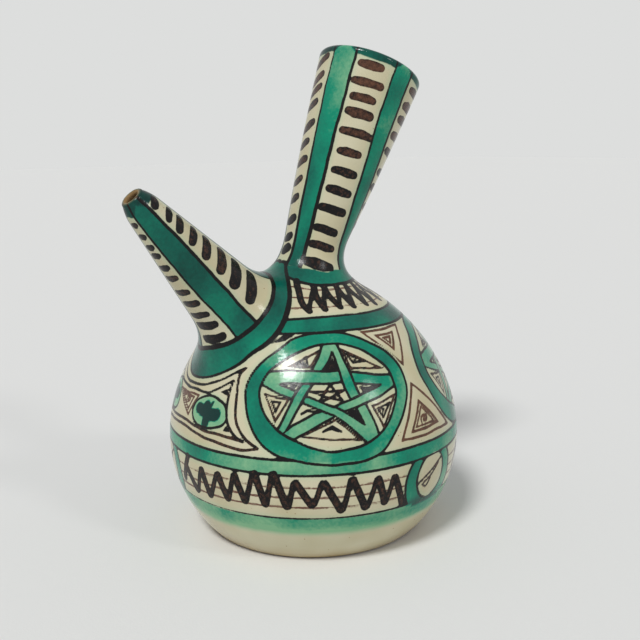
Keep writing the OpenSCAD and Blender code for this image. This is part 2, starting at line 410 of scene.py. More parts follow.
def collar(name, tube, other, parts):
    turn = evenTurns(parts)
    around = len(turn)
    foot = footOnBody(tube, turn, tube["radius"], 0.0)
    corner = tubeWall(tube, turn, foot)
    up = unit(tubeWall(tube, turn, foot + 10) - corner)
    out = ringWay(tube, turn)
    out = unit(out - (out * up).sum(1, keepdims=True) * up)

    def swept(angle):  # from the corner, how far the clay reaches in that direction
        ways = np.cos(angle)[..., None] * up + np.sin(angle)[..., None] * out
        reach = np.zeros(angle.shape)
        isOut = np.zeros(angle.shape, bool)
        step = luteShape["sweepStep"]

        def isClear(reach):
            return skinGap(corner + reach[..., None] * ways) > 0
        for _ in range(luteShape["sweepSteps"]):
            isOut |= isClear(reach)
            reach = np.where(isOut, reach, reach + step)
        reach = halve(np.maximum(reach - step, 0), reach, isClear)[1]
        return corner + reach[..., None] * ways

    def pastTube(angle):
        return tubeGap(tube, swept(angle)) > luteShape["feather"]

    def pastBody(angle):
        p = swept(angle)
        return (bodyGap(p) < luteShape["feather"]) | (tubeGap(tube, p) > tubeGap(other, p))

    def firstTrue(test, start, offset, count):
        step = math.radians(luteShape["turnStep"])
        angle = start + math.radians(offset)
        found = np.zeros(around, bool)
        for _ in range(count):
            found |= test(angle)
            angle = np.where(found, angle, angle + step)
        return halve(angle - step, angle, test, 18)
    first = firstTrue(pastTube, np.zeros(around), *luteShape["tubeSearch"])[1]
    last = firstTrue(pastBody, first, *luteShape["bodySearch"])[0]
    share = np.linspace(0, 1, luteShape["across"] + 1)
    angles = first[:, None] + (last - first)[:, None] * share
    for _ in range(4):  # brings the rows to even steps along the clay
        face = np.stack([swept(row) for row in angles.T], 1)
        steps = np.linalg.norm(np.diff(face, axis=1), axis=2)
        length = np.concatenate([np.zeros((around, 1)), steps.cumsum(1)], 1)
        angles = np.stack([np.interp(share * far[-1], far, row) for far, row in zip(length, angles)])
    face = np.stack([swept(row) for row in angles.T], 1)
    ahead = unit(face[:, -1] - face[:, -3])
    skin = unit(slopeOf(skinGap, face[:, -1]))
    skirt = [face[:, -1] + reach * (ahead - luteShape["dip"] * skin) for reach in luteShape["skirt"]]
    sink = luteShape["sink"]

    def sunk(p):  # a little way under the body's outside
        return p - (bodyGap(p) + sink)[..., None] * slopeOf(bodyGap, p)

    def walled(p):  # a little way under the tube's outside
        along, wide = tubeParts(tube, p)
        away = (p - tube["foot"] - along[..., None] * tube["axis"]) / wide[..., None]
        return p - (wide - tube["radius"](along) + sink)[..., None] * away
    end = skirt[-1]  # past its edge it dips under the other collar
    under = [sunk(end + (corner - end) * k) for k in luteShape["underRows"]]
    onWall = corner + (face[:, 0] - corner) * luteShape["wallRow"]
    within = [walled(sunk(corner)), walled(onWall), walled(face[:, 0])]
    return ringPiece(name, np.concatenate([face, np.stack(skirt + under + within, 1)], 1))


neckCollar = collar("neck_collar", neckTube, spoutTube, luteShape["neckTurns"])
spoutCollar = collar("spout_collar", spoutTube, neckTube, luteShape["spoutTurns"])
print("collars luted on")

pieces = [body, neck, spout, neckCollar, spoutCollar]
boxLow = np.array(cadLow) / mm
boxHigh = np.array(cadHigh) / mm
for piece in pieces:
    setPlaces(piece, np.clip(places(piece), boxLow, boxHigh))  # no wider than the solids
    pickOnly(piece)
    bpy.ops.object.shade_smooth_by_angle(angle=math.radians(50))
loopSize = len(neckCollar.data.vertices) // len(evenTurns(luteShape["neckTurns"]))
for piece in (neckCollar, spoutCollar):  # the thin edges stay sharp, so the shading runs on over the joint
    for edge in piece.data.edges:
        rows = {v % loopSize for v in edge.vertices}
        edge.use_edge_sharp = edge.use_edge_sharp or rows == {0} or rows == {luteShape["across"]}


# painting: on every point, millimetres from the edge of each wash of colour, below zero inside it.
# turns are in degrees from the spout, towards the camera's side, and arcs in millimetres up from the foot
frieze = {"footEdge": 20.5, "lowLine": 29.0, "zigzagTop": 49.1, "friezeLow": 55.3, "friezeHigh": 109.8,
          "shoulderLow": 117.8, "fineLines": (34.7, 39.4, 43.9), "ringHeight": 113.7, "ringLift": 6.5,
          "ringSpread": 38.0, "ringWide": 5.7, "footFade": 4.0, "footThin": 0.6, "domeTop": 117.6}
farOff = 9.0  # as far from an edge as is told apart
# depths of the manganese, from brown where it is thin to black where it is thick
faintTone = 0.1
brownTone = 0.12
scribbleTone = 0.5
softTone = 0.7
zigzagTone = 0.75
strokeTone = 0.85
darkTone = 0.9
lineTone = 0.95


def wrap(turn):
    return (turn + 180) % 360 - 180


def sway(turn, seed, size):  # an unsteady hand, the same each run
    draw = np.random.default_rng(seed)
    total = np.zeros(np.shape(turn))
    for wave in (2, 3, 5, 7, 11, 16):
        total = total + np.sin(wave * turn + draw.uniform(0, fullTurn)) * draw.uniform(0.3, 1.0) / wave ** 0.5
    return total * size * 0.5


def eased(points, between=5, closed=False):  # a smooth line through points
    points = np.asarray(points, float)
    if closed:
        points = np.concatenate([points[-1:], points, points[:2]])
    else:
        points = np.concatenate([[2 * points[0] - points[1]], points, [2 * points[-1] - points[-2]]])
    done = []
    for a, b, c, d in zip(points[:-3], points[1:-2], points[2:-1], points[3:]):
        for k in np.arange(between) / between:
            done.append(0.5 * (2 * b + (c - a) * k + (2 * a - 5 * b + 4 * c - d) * k * k
                               + (3 * b - a - 3 * c + d) * k ** 3))
    done.append(points[-2])
    return np.array(done)


def brush(spots, path, half=None):  # distance from a line whose half width may change along it
    path = np.asarray(path, float)
    wide = np.full(len(path), half) if half is not None else path[:, -1]
    path = path[:, :spots.shape[1]]
    best = np.full(len(spots), farOff)
    for a, b, wideA, wideB in zip(path[:-1], path[1:], wide[:-1], wide[1:]):
        way = b - a
        k = np.clip((spots - a) @ way / max(way @ way, 1e-9), 0, 1)
        off = np.linalg.norm(spots - a - k[:, None] * way, axis=1)
        best = np.minimum(best, off - wideA - (wideB - wideA) * k)
    return best


def cornered(spots, corners):  # signed distance from a shape with straight sides
    corners = np.asarray(corners, float)
    gap = np.full(len(spots), -farOff)
    for a, b in zip(corners, np.roll(corners, -1, 0)):
        across = np.array([b[1] - a[1], a[0] - b[0]]) / np.hypot(*(b - a))
        across = across * -np.sign((corners.mean(0) - a) @ across)
        gap = np.maximum(gap, (spots - a) @ across)
    return gap


def oval(spots, size, power, middle=(0.0, 0.0)):  # signed distance; a higher power is squarer
    spots = spots - np.array(middle)
    k = ((np.abs(spots / size) ** power).sum(1)) ** (1 / power) + 1e-6
    return (1 - 1 / k) * np.hypot(spots[:, 0], spots[:, 1])


def enclosed(spots, corners):  # signed distance from a smooth closed line through points
    path = eased(corners, closed=True)
    within = np.zeros(len(spots), bool)
    for a, b in zip(path[:-1], path[1:]):
        crosses = (a[1] > spots[:, 1]) != (b[1] > spots[:, 1])
        within ^= crosses & (spots[:, 0] < a[0] + (spots[:, 1] - a[1]) * (b[0] - a[0]) / (b[1] - a[1] + 1e-9))
    gap = brush(spots, path, 0.0)
    return np.where(within, -gap, gap)


def lay(canvas, zone, layer, gap, tone, at=slice(None)):  # a wash within a zone, toned by the nearer edge
    gap = np.maximum(gap, canvas[zone][at])
    old = canvas[layer][at]
    toneName = layer + "Tone"
    canvas[toneName][at] = np.where(gap < old, tone, canvas[toneName][at])
    canvas[layer][at] = np.minimum(gap, old)


handWaver = ((0.2, 3.6, (1.0, 2.6)), (0.08, 1.7, (0.4, 1.7)))  # how far, how long, and where it starts


def near(canvas, turn, arc, reach, flip=1):  # points round a spot on the body, millimetres right and up
    across = flip * np.radians(wrap(canvas["turn"] - turn)) * canvas["radius"]
    up = canvas["arc"] - arc
    at = ((np.abs(across) < reach[0]) & (np.abs(up) < reach[1]) & canvas["isOuter"]).nonzero()[0]
    spots = np.stack([across[at], up[at]], 1)
    waved = spots
    for size, length, start in handWaver:
        waved = waved + size * np.sin(spots[:, ::-1] / length + start)
    return at, waved


def ringLine(turn):  # height of the line under the neck's ring
    return frieze["ringHeight"] + frieze["ringLift"] * np.exp(-(wrap(turn) / frieze["ringSpread"]) ** 2)


shoulderHeight = float(bodyPoint(np.array(frieze["shoulderLow"]))[1])
spoutRing = {"reach": 34.5, "crest": -7.5, "crestReach": 30.0, "blend": 3.0,
             "inner": ((0, 67.5), (33, 68.5), (60, 69.2), (90, 69.3), (110, 69.2), (130, 69.2), (150, 69.0),
                       (172, 69.2), (190, 70.5), (210, 72.0), (230, 71.0), (270, 69.0), (310, 68.0),
                       (360, 67.5)),
             "outer": ((0, 72.0), (20, 73.2), (32, 74.0), (55, 75.3), (90, 76.5), (110, 76.2), (124, 75.6),
                       (140, 76.2), (155, 76.6), (171, 77.3), (190, 78.5), (209, 80.0), (230, 79.0),
                       (260, 77.0), (300, 75.2), (340, 73.5), (360, 72.0))}
ringEdge = eased(spoutRing["outer"])
ringStart = eased(spoutRing["inner"])


def turnOf(p):
    return np.degrees(np.arctan2(-p[..., 1], -p[..., 0]))


def aboveRing(p):
    return p[..., 2] - ringLine(turnOf(p))


def spoutTurnOf(p):
    return np.degrees(np.arctan2(-p[..., 1], (p - spoutFoot) @ spoutAcross))


def offSpout(p):  # below zero on the spout and its ring
    along, out = tubeParts(spoutTube, p)
    edge = np.interp(spoutTurnOf(p) % 360, ringEdge[:, 0], ringEdge[:, 1])
    within = lute(along + edge - spoutShape["length"], spoutRing["reach"] - out, spoutRing["blend"])
    upNeck, besideNeck = tubeParts(neckTube, p)
    underCrest = spoutRing["crest"] - upNeck + np.maximum(besideNeck - spoutRing["crestReach"], 0)
    return -lute(within, underCrest, spoutRing["blend"])


def overSurface(field, p):  # turns a field's value into millimetres along the surface
    skin = unit(slopeOf(skinGap, p))
    slope = slopeOf(field, p)
    slope = slope - (slope * skin).sum(-1, keepdims=True) * skin
    return field(p) / np.maximum(np.linalg.norm(slope, axis=-1), 0.25)


# star medallion, in millimetres right and up from its middle
medallion = {"turns": (59.5, 141.5, -147.0, -74.0), "arc": 82.0, "reach": (42, 32), "margin": 1.2,
             "barLine": 0.55, "ringLine": 0.6, "gapLine": 0.5, "heartLines": ((0.0, 0.5), (1.3, 0.4)),
             "starLine": 0.55, "ringWash": 0.7, "ringFade": 0.006, "barWash": 0.2,
             "outer": ((36, -1.5), (32.5, 9), (23, 18.5), (11, 25.5), (0, 27.5), (-10.5, 26), (-18.5, 20.5),
                       (-25.5, 15.5), (-32, 8.5), (-35.5, 0.5), (-36, -6), (-35, -12), (-32, -17.5),
                       (-26.5, -23), (-18, -26.5), (-3, -28.5), (11, -28.5), (22, -24.5), (31, -14)),
             "inner": ((29.5, 0), (25.5, 9), (14, 18.5), (1, 22), (-9, 19.5), (-18.5, 14), (-23.5, 10.5),
                       (-27, 6), (-29.5, -1.5), (-27.5, -9), (-22, -15), (-14, -19.5), (-3, -23), (7, -23),
                       (16, -20.5), (23.5, -15), (28.5, -6.5))}
# bars of the star with their half widths; each passes over the next
starBars = (((2.0, 23.5, 2.4), (-1.5, 15.4, 2.3), (-4.8, 10.0, 1.9), (-13.4, -2.3, 1.8), (-18.2, -10.5, 1.7),
             (-23.0, -18.5, 1.7)),
            ((-30.0, 6.5, 1.8), (-17.0, 0.3, 1.9), (-10.0, -2.4, 1.7), (1.5, -7.4, 1.6), (6.0, -10.9, 1.9),
             (13.0, -16.3, 2.4), (19.0, -22.0, 2.6)),
            ((-21.5, -20.0, 2.5), (-15.0, -15.1, 2.5), (-6.0, -9.9, 2.4), (1.5, -7.0, 1.8), (8.0, -5.2, 1.8),
             (15.0, -2.7, 2.0), (22.0, -0.6, 2.0), (31.0, 2.5, 2.0)),
            ((19.0, -22.0, 2.2), (15.5, -13.4, 2.2), (12.6, -6.8, 2.2), (10.3, -2.5, 2.3), (7.3, 6.0, 2.2),
             (4.6, 15.0, 1.6), (2.6, 23.5, 1.6)),
            ((31.0, 2.0, 2.0), (21.0, 4.1, 2.1), (5.6, 6.8, 2.5), (-7.5, 7.2, 2.7), (-20.0, 6.9, 2.8),
             (-31.0, 6.5, 2.7)))
starGaps = (((-2.5, 19.3), (-15.6, 11.6), (-7.4, 11.5)), ((6.4, 18.6), (23.0, 8.8), (9.2, 10.2)),
            ((17.3, -6.5), (28.3, -3.8), (22.0, -15.6)), ((1.0, -10.6), (-13.0, -17.0), (11.5, -19.7)),
            ((-27.0, -0.3), (-17.2, -2.5), (-23.4, -11.0)))
starHearts = (((-8.8, 16.2), (-12.6, 12.8), (-8.3, 12.4)), ((8.2, 16.4), (16.2, 12.6), (10.6, 12.4)),
              ((19.6, -7.6), (25.4, -6.6), (21.9, -11.6)), ((-24.3, -3.0), (-20.8, -3.5), (-23.0, -7.2)))
starDark = (((1.9, 15.2), (-2.3, 9.9), (4.6, 9.6)), ((-16.4, 3.9), (-12.2, 3.8), (-15.0, 1.2)),
            ((5.6, -8.2), (10.6, -7.0), (13.2, -13.2)), ((12.2, 1.9), (20.4, 1.4), (14.5, -0.8)))
starBrush = (((-4.2, -15.2, 0.5), (-2.4, -14.2, 0.7), (-0.4, -13.5, 0.9), (1.4, -14.6, 0.8),
              (3.6, -15.8, 0.5)),
             ((-12.5, -8.2, 0.5), (-10.0, -6.6, 0.6), (-6.5, -6.9, 0.4)))
smallStar = ((0.5, 4.0), (-8.0, 1.2), (-5.0, -3.3), (4.8, -3.4), (6.2, 0.8))


def paintMedallions(canvas):
    for turn in medallion["turns"]:
        at, spots = near(canvas, turn, medallion["arc"], medallion["reach"], -1 if turn < 0 else 1)
        outer = enclosed(spots, medallion["outer"])
        inner = enclosed(spots, medallion["inner"])
        canvas["offMedallion"][at] = np.minimum(canvas["offMedallion"][at], outer)
        canvas["ink"][at] = np.maximum(canvas["ink"][at], -outer)
        bars = [brush(spots, bar) for bar in starBars]
        within = np.maximum(-np.min(bars, 0), inner)
        ringWash = medallion["ringWash"] - medallion["ringFade"] * spots[:, 0]  # deeper on one side
        lay(canvas, "offBody", "green", np.maximum(outer, -inner), ringWash, at)
        lay(canvas, "offBody", "green", np.maximum(np.min(bars, 0), inner), medallion["barWash"], at)
        marks = [(np.abs(gap) - medallion["ringLine"], lineTone) for gap in (outer, inner)]
        for k in range(5):
            edge = np.abs(bars[k]) - medallion["barLine"]
            for other in (k - 1, k + 2, k + 3):
                edge = np.maximum(edge, -bars[other % 5])
            marks.append((np.maximum(edge, inner), darkTone))
        for corners in starGaps:
            line = np.abs(cornered(spots, corners)) - medallion["gapLine"]
            marks.append((np.maximum(line, within), scribbleTone))
        for corners in starHearts:
            marks += [(np.abs(cornered(spots, corners) + inset) - half, softTone)
                      for inset, half in medallion["heartLines"]]
        marks += [(cornered(spots, corners), darkTone) for corners in starDark]
        marks += [(brush(spots, path), lineTone) for path in starBrush]
        for k in range(5):
            path = (smallStar[k], smallStar[(k + 2) % 5])
            marks.append((np.maximum(brush(spots, path, medallion["starLine"]), within), softTone))
        for gap, tone in marks:
            lay(canvas, "offBody", "ink", gap, tone, at)


# corners between the medallions, in brown lines
cornerPaint = {"turns": ((100.0, 1), (177.0, 1), (-110.0, -1)), "reach": (24, 30), "line": 0.6,
               "innerLines": ((1, 1.7, 0.5), (3, 1.5, 0.45)),  # which shape has one, how far in, half width
               "scroll": ((-0.8, -16.4), 2.6), "scrollLine": 0.5}
cornerShapes = (((-13.2, 26.0), (9.0, 25.8), (-2.4, 8.2)), ((-7.6, 23.4), (3.0, 23.3), (-3.0, 15.8)),
                ((-2.2, -0.6), (17.5, -23.2), (-15.6, -23.0)), ((-1.7, -8.5), (8.6, -20.3), (-9.5, -20.4)))
darkCorner = {"turns": ((40.0, 1), (-34.0, -1)), "arc": 100.0, "reach": (12, 14),
              "shape": ((-6.0, 4.8), (-2.0, 10.0), (6.0, 8.0))}


def scroll(middle, size, flat=0.85):  # a spiral line, a little flattened
    turns = np.linspace(0.6, 3.2 * math.pi, 26)
    reach = size * turns / turns[-1]
    return np.stack([middle[0] + reach * np.cos(turns), middle[1] + flat * reach * np.sin(turns)], 1)


def paintCorners(canvas):
    for turn, flip in cornerPaint["turns"]:
        at, spots = near(canvas, turn, medallion["arc"], cornerPaint["reach"], flip)
        marks = [np.abs(cornered(spots, corners)) - cornerPaint["line"] for corners in cornerShapes]
        for k, inset, half in cornerPaint["innerLines"]:
            marks.append(np.abs(cornered(spots, cornerShapes[k]) + inset) - half)
        marks.append(brush(spots, scroll(*cornerPaint["scroll"]), cornerPaint["scrollLine"]))
        for gap in marks:
            lay(canvas, "offRound", "ink", gap, brownTone, at)
    for turn, flip in darkCorner["turns"]:
        at, spots = near(canvas, turn, darkCorner["arc"], darkCorner["reach"], flip)
        lay(canvas, "offRound", "ink", cornered(spots, darkCorner["shape"]), lineTone, at)


# panel under the spout, with a leaf in a drop at each side and a scroll between them
panel = {"turn": -9.5, "arc": 70.0, "reach": (54, 26), "scrollShapeLine": 0.5, "scroll": ((2.5, 2.2), 2.2),
         "scrollLine": 0.45, "dropLine": 0.6, "dropWash": -0.12, "leafWash": 3.2, "leafEdge": 0.7}
panelLines = ((((0.0, 10.0), (6.0, 10.0), (12.5, 11.5), (21.5, 16.0), (30.5, 22.0)), 0.65, 0.85),
              (((0.0, 7.5), (14.0, 8.0), (17.5, 9.5), (23.0, 13.0), (26.5, 15.5)), 0.62, 0.8),
              (((30.5, 22.0), (28.5, 18.0), (30.0, 12.0), (33.5, 3.5), (36.5, -2.5), (41.5, -7.0),
                (48.0, -11.0)), 0.65, 0.6),
              (((26.5, 15.5), (27.0, 9.0), (29.5, 2.0), (32.0, -3.0), (36.5, -7.0),
                (41.0, -8.5)), 0.65, 0.75),
              (((48.0, -11.0), (40.0, -12.0), (31.0, -11.5), (17.5, -10.0), (0.0, -8.5)), 0.65, 0.5),
              (((41.0, -8.5), (32.0, -8.0), (20.0, -7.5), (11.5, -7.0), (0.0, -6.0)), 0.65, 0.5))
drop = ((18.5, 7.5), (11.0, 4.5), (8.5, 0.0), (9.5, -3.5), (14.0, -6.0), (21.5, -6.0), (28.0, -4.5),
        (30.5, -1.5), (29.5, 2.0), (26.5, 5.0))
leafHeart = (19.0, -0.5)
leaf = (((13.0, 1.0), 2.2), ((17.5, 3.0), 2.0), ((24.0, 0.0), 2.6), (leafHeart, 2.6), ((19.0, -4.0), 2.0))
leafStem = ((19.0, 0.5, 1.4), (20.5, 5.0, 0.5))
panelDark = (((22.0, 10.0), (26.0, 12.0), (26.0, 8.5)), ((30.0, -6.0), (31.0, -3.5), (34.0, -6.0)))
panelScroll = (((-9.5, 5.0), (9.5, 5.5), (5.5, -4.0)), ((-5.0, 4.0), (6.5, 4.0), (4.5, -1.5)))


def paintPanel(canvas):
    at, spots = near(canvas, panel["turn"], panel["arc"], panel["reach"])
    for corners in panelScroll:
        gap = np.abs(cornered(spots, corners)) - panel["scrollShapeLine"]
        lay(canvas, "offRound", "ink", gap, faintTone, at)
    gap = brush(spots, scroll(*panel["scroll"]), panel["scrollLine"])
    lay(canvas, "offRound", "ink", gap, faintTone, at)
    spots = np.abs(spots * (1, 0)) + spots * (0, 1)  # both halves alike
    for path, half, tone in panelLines:
        lay(canvas, "offRound", "ink", brush(spots, eased(path), half), tone, at)
    dropGap = enclosed(spots, drop)
    lay(canvas, "offRound", "ink", np.abs(dropGap) - panel["dropLine"], darkTone, at)
    lay(canvas, "offRound", "green", dropGap, panel["dropWash"], at)
    leafGap = np.min([brush(spots, (middle, leafHeart), half) for middle, half in leaf], 0)
    leafGap = np.minimum(leafGap, brush(spots, leafStem))
    dark = np.clip(0.5 - leafGap / panel["leafEdge"], 0, 1)
    canvas["greenTone"][at] = canvas["greenTone"][at] * (1 - dark) + panel["leafWash"] * dark
    for corners in panelDark:
        lay(canvas, "offRound", "ink", cornered(spots, corners), darkTone, at)


# bands round the body, and the wide zigzag on the lowest with its roundels
roundel = {"turns": (101.5, -23.0, 218.0), "arc": 38.5, "reach": (22, 18),
           "outer": ((16.0, 14.5), 2.3), "inner": ((9.5, 10.5), 2.0, (0.0, 1.5)),  # size, power and middle
           "line": 0.65, "scribble": 0.6, "wash": 0.65, "pool": 0.9, "poolFrom": 4, "poolOver": 5}
roundelMarks = (((-8.0, 0.0), (0.0, 4.0), (7.5, 7.5)), ((-4.5, -0.5), (0.5, 2.0), (5.0, 5.5)),
                ((-6.0, -1.0), (-3.5, -3.0), (-0.5, 0.5)))
bandWashes = (("footEdge", "lowLine", 0.36), ("zigzagTop", "friezeLow", 0.45),
              ("friezeHigh", "shoulderLow", 1.15))
bandLines = (("lowLine", 0.6), ("zigzagTop", 0.62), ("friezeLow", 0.6), ("friezeHigh", 0.62))
zigzagBrush = (1.75, 1.25)  # half widths down and up
zigzagReach = (24, 56)
fineHalf = 0.55
zigzagFront = ((-1.0, 50.0), (-6.5, 36.0), (-3.5, 45.0), (3.0, 33.0), (7.0, 46.5), (10.5, 33.0),
               (15.5, 46.5), (19.5, 34.0), (23.0, 48.0), (27.0, 34.5), (31.0, 50.5), (35.0, 34.0),
               (38.0, 51.0), (43.0, 33.5), (45.5, 47.0), (52.0, 35.0), (55.5, 47.0), (62.5, 31.5),
               (65.5, 48.0), (71.5, 31.5), (75.3, 46.6), (79.0, 32.5), (82.0, 46.0), (87.5, 29.0))


# the sides that the photograph doesn't show: degrees from, to, and the seed of what wavers
zigzagBack = {"spans": ((122.0, 200.0, 7), (238.0, 318.0, 8)), "step": 4.3, "high": 47.5, "low": 33.0,
              "turnWaver": 0.8, "upWaver": 1.5}


def waver(draw, size, count=None):
    return draw.uniform(-size, size, count)


def zigzagRest(first, last, seed):
    draw = np.random.default_rng(seed)
    turns = np.arange(first, last, zigzagBack["step"])
    up = np.where(np.arange(len(turns)) % 2, zigzagBack["high"], zigzagBack["low"])
    return np.stack([turns + waver(draw, zigzagBack["turnWaver"], len(turns)),
                     up + waver(draw, zigzagBack["upWaver"], len(turns))], 1)


def zigzagPath(corners, down, up):  # full on the way down, thinner on the way up, blunt at the corners
    corners = np.asarray(corners, float)
    path = []
    for a, b in zip(corners[:-1], corners[1:]):
        thick = down if b[1] < a[1] else up
        for k, wide in ((0.1, 0.95), (0.35, 1.0), (0.65, 1.0), (0.9, 1.05)):
            path.append((*(a + (b - a) * k), thick * wide))
    return path


def paintBands(canvas):
    arc = canvas["arc"]
    swing = np.radians(canvas["turn"])
    for low, high, tone in bandWashes:
        middle = (frieze[low] + frieze[high]) / 2
        half = (frieze[high] - frieze[low]) / 2
        unsteady = 0.0
        if low == "footEdge":  # this one runs out thin towards the foot
            unsteady = sway(swing, 11, 0.5)
            fade = frieze["footFade"]
            tone = tone - frieze["footThin"] * np.clip((frieze["footEdge"] + fade - arc) / fade, 0, 1)
        lay(canvas, "offBody", "green", np.abs(arc - middle + unsteady) - half, tone)
    for k, (name, half) in enumerate(bandLines):
        lay(canvas, "offBody", "ink", np.abs(arc - frieze[name] + sway(swing, 20 + k, 0.35)) - half, lineTone)
    for k, level in enumerate(frieze["fineLines"]):
        lay(canvas, "offBody", "fine", np.abs(arc - level + sway(swing, 50 + k, 0.5)) - fineHalf, darkTone)
    at = ((arc > zigzagReach[0]) & (arc < zigzagReach[1]) & canvas["isOuter"]).nonzero()[0]
    for corners in (zigzagFront, *[zigzagRest(*span) for span in zigzagBack["spans"]]):
        middle = np.mean([turn for turn, _ in corners])
        spots = np.stack([np.radians(wrap(canvas["turn"][at] - middle)) * canvas["radius"][at], arc[at]], 1)
        path = [(math.radians(turn - middle) * float(bodyPoint(np.array(up))[0]), up, half)
                for turn, up, half in zigzagPath(corners, *zigzagBrush)]
        lay(canvas, "offBody", "ink", brush(spots, path), zigzagTone, at)


def paintRoundels(canvas):
    for turn in roundel["turns"]:
        at, spots = near(canvas, turn, roundel["arc"], roundel["reach"])
        outer = oval(spots, *roundel["outer"])
        inner = oval(spots, *roundel["inner"])
        arcHere = canvas["arc"][at]
        below = arcHere - frieze["zigzagTop"]
        onBand = np.maximum(below, frieze["lowLine"] - arcHere)
        low = np.clip((frieze["lowLine"] + roundel["poolFrom"] - arcHere) / roundel["poolOver"], 0, 1)
        pooled = roundel["wash"] + roundel["pool"] * low
        canvas["fine"][at] = np.maximum(canvas["fine"][at], -outer)
        ink = canvas["ink"][at]
        canvas["ink"][at] = np.where(below < -1, np.maximum(ink, -outer), ink)
        lay(canvas, "offBody", "green", np.maximum(np.maximum(outer, -inner), below), pooled, at)
        green = canvas["green"][at]
        canvas["green"][at] = np.where(below < 0, np.maximum(green, -inner), green)
        for gap in (outer, inner):
            lay(canvas, "offBody", "ink", np.maximum(np.abs(gap) - roundel["line"], onBand), darkTone, at)
        for path in roundelMarks:
            lay(canvas, "offBody", "ink", brush(spots, eased(path), roundel["scribble"]), scribbleTone, at)


# lines and zigzag between the shoulder's band and the neck's ring, on the smoothed clay
shoulderFront = ((27.5, 0.92), (51.5, 0.2), (53.0, 0.92), (63.5, 0.23), (67.0, 0.92), (76.0, 0.27),
                 (84.0, 0.95), (88.0, 0.25), (99.0, 0.95), (102.0, 0.25), (115.0, 0.95), (113.0, 0.2),
                 (128.0, 0.95), (128.0, 0.24), (144.0, 0.95), (142.0, 0.25))
shoulderLines = ((0.0, 0.65, "ink"), (1.0, 0.85, "ink"), (0.3, 0.5, "fine"), (0.58, 0.5, "fine"),
                 (0.84, 0.5, "fine"))
shoulderBrush = (1.6, 1.05)  # half widths down and up
shoulderBack = {"first": 150.0, "last": 326.0, "step": 7.0, "low": 0.25, "high": 0.95, "turnWaver": 1.2,
                "upWaver": 0.04}
shoulderReach = (98, 126)  # heights
skinStart = {"top": 117.0, "out": 3.0}  # where a point starts from before it is moved on to the skin


def onShoulder(turn, share):  # points on the skin, a share of the way up from one line to the other
    height = shoulderHeight + (ringLine(turn) - shoulderHeight) * share
    radius = bodyPoint(arcAt(np.minimum(height, skinStart["top"])))[0] + skinStart["out"]
    angle = np.radians(turn)
    p = np.stack([-radius * np.cos(angle), -radius * np.sin(angle), height], -1)
    for _ in range(12):
        level = slopeOf(skinGap, p) * (1, 1, 0)
        p = p - (skinGap(p) / np.maximum((level * level).sum(-1), 0.1))[..., None] * level
    return p


def shoulderStrokes():
    draw = np.random.default_rng(5)
    corners = list(shoulderFront)
    for k, turn in enumerate(np.arange(shoulderBack["first"], shoulderBack["last"], shoulderBack["step"])):
        share = shoulderBack["low"] if k % 2 else shoulderBack["high"]
        corners.append((turn + waver(draw, shoulderBack["turnWaver"]),
                        share + waver(draw, shoulderBack["upWaver"])))
    for a, b in zip(corners[:-1], corners[1:]):
        share = np.linspace(0, 1, 9)
        half = shoulderBrush[0] if b[1] < a[1] else shoulderBrush[1]
        path = onShoulder(a[0] + (b[0] - a[0]) * share, a[1] + (b[1] - a[1]) * share)
        yield np.concatenate([path, np.full((len(path), 1), half)], 1)


def paintShoulder(canvas):
    points = canvas["points"]
    height = points[:, 2]
    at = ((height > shoulderReach[0]) & (height < shoulderReach[1]) & canvas["isOuter"]).nonzero()[0]
    if len(at) == 0:
        return
    here = points[at]
    swing = np.radians(canvas["turn"][at])
    for k, (share, half, layer) in enumerate(shoulderLines):
        def line(p):
            return p[..., 2] - shoulderHeight - (ringLine(turnOf(p)) - shoulderHeight) * share
        gap = np.abs(overSurface(line, here) + sway(swing, 30 + k, 0.4)) - half
        lay(canvas, "offRest", layer, gap, lineTone, at)
    for path in shoulderStrokes():
        box = ((here > path[:, :3].min(0) - 4) & (here < path[:, :3].max(0) + 4)).all(1).nonzero()[0]
        lay(canvas, "offRest", "ink", brush(here[box], path), strokeTone, at[box])


# stripes and dashes of the neck; each stripe's edges at the mouth, and how far they drift by the foot
neckStripes = ((5.0, 33.5, 9.0, 8.0), (79.0, 103.0, 33.0, 40.0), (150.0, 178.0, 42.0, 36.0),
               (222.0, 250.0, 30.0, 24.0), (294.0, 322.0, 16.0, 12.0))
neckDashes = ((83.0, 38.0, 67.0), (75.3, 36.0, 73.5), (68.5, 40.0, 71.0), (61.8, 39.0, 74.0),
              (53.4, 39.5, 84.0), (44.5, 44.0, 77.5), (35.9, 44.0, 82.5), (27.4, 45.0, 85.5),
              (18.9, 42.0, 89.0), (9.7, 44.0, 89.5), (2.4, 44.0, 97.0), (-6.0, 41.0, 108.0))
neckSlant = (0.05, 0.1, 0.05, 0.1, 0.4)  # rise of the dashes beside each stripe
neckPaint = {"reach": 88.0, "lip": 86.0, "lowest": -3.5, "press": (1.9, 2.3), "lowPress": 1.35,
             "frontNarrow": 3.5, "frontTurn": 25.0, "overlap": 0.4, "ringWash": 0.95, "lipWash": 1.6,
             "lipInside": 4, "leftGap": 5, "rightGap": 7, "fade": 0.005,
             "stripe": ((0.42, 0.6), (0.42, 0.35), (0.62, 0.3))}  # wash, lines, and their growth to the foot


def dash(canvas, zone, turns, along, out, middle, at, half, thick, slant, tone, hand):  # a press of the brush
    across = np.radians(wrap(turns - middle)) * out
    close = ((np.abs(across) < half + 4) & (np.abs(along - at) < thick + 4 + half * abs(slant))
             & canvas["isOuter"]).nonzero()[0]
    reach = np.array([-1.0, -0.4, 0.4, 1.0]) * (half - 0.7 * thick)
    lift = at + slant * reach + waver(hand, 0.2, 4)
    wide = thick * np.array([0.86, 1.0, 1.0, 0.88]) * hand.uniform(0.92, 1.08, 4)
    gap = brush(np.stack([across[close], along[close]], 1), np.stack([reach, lift, wide], 1))
    lay(canvas, zone, "ink", gap, tone + waver(hand, 0.12), close)


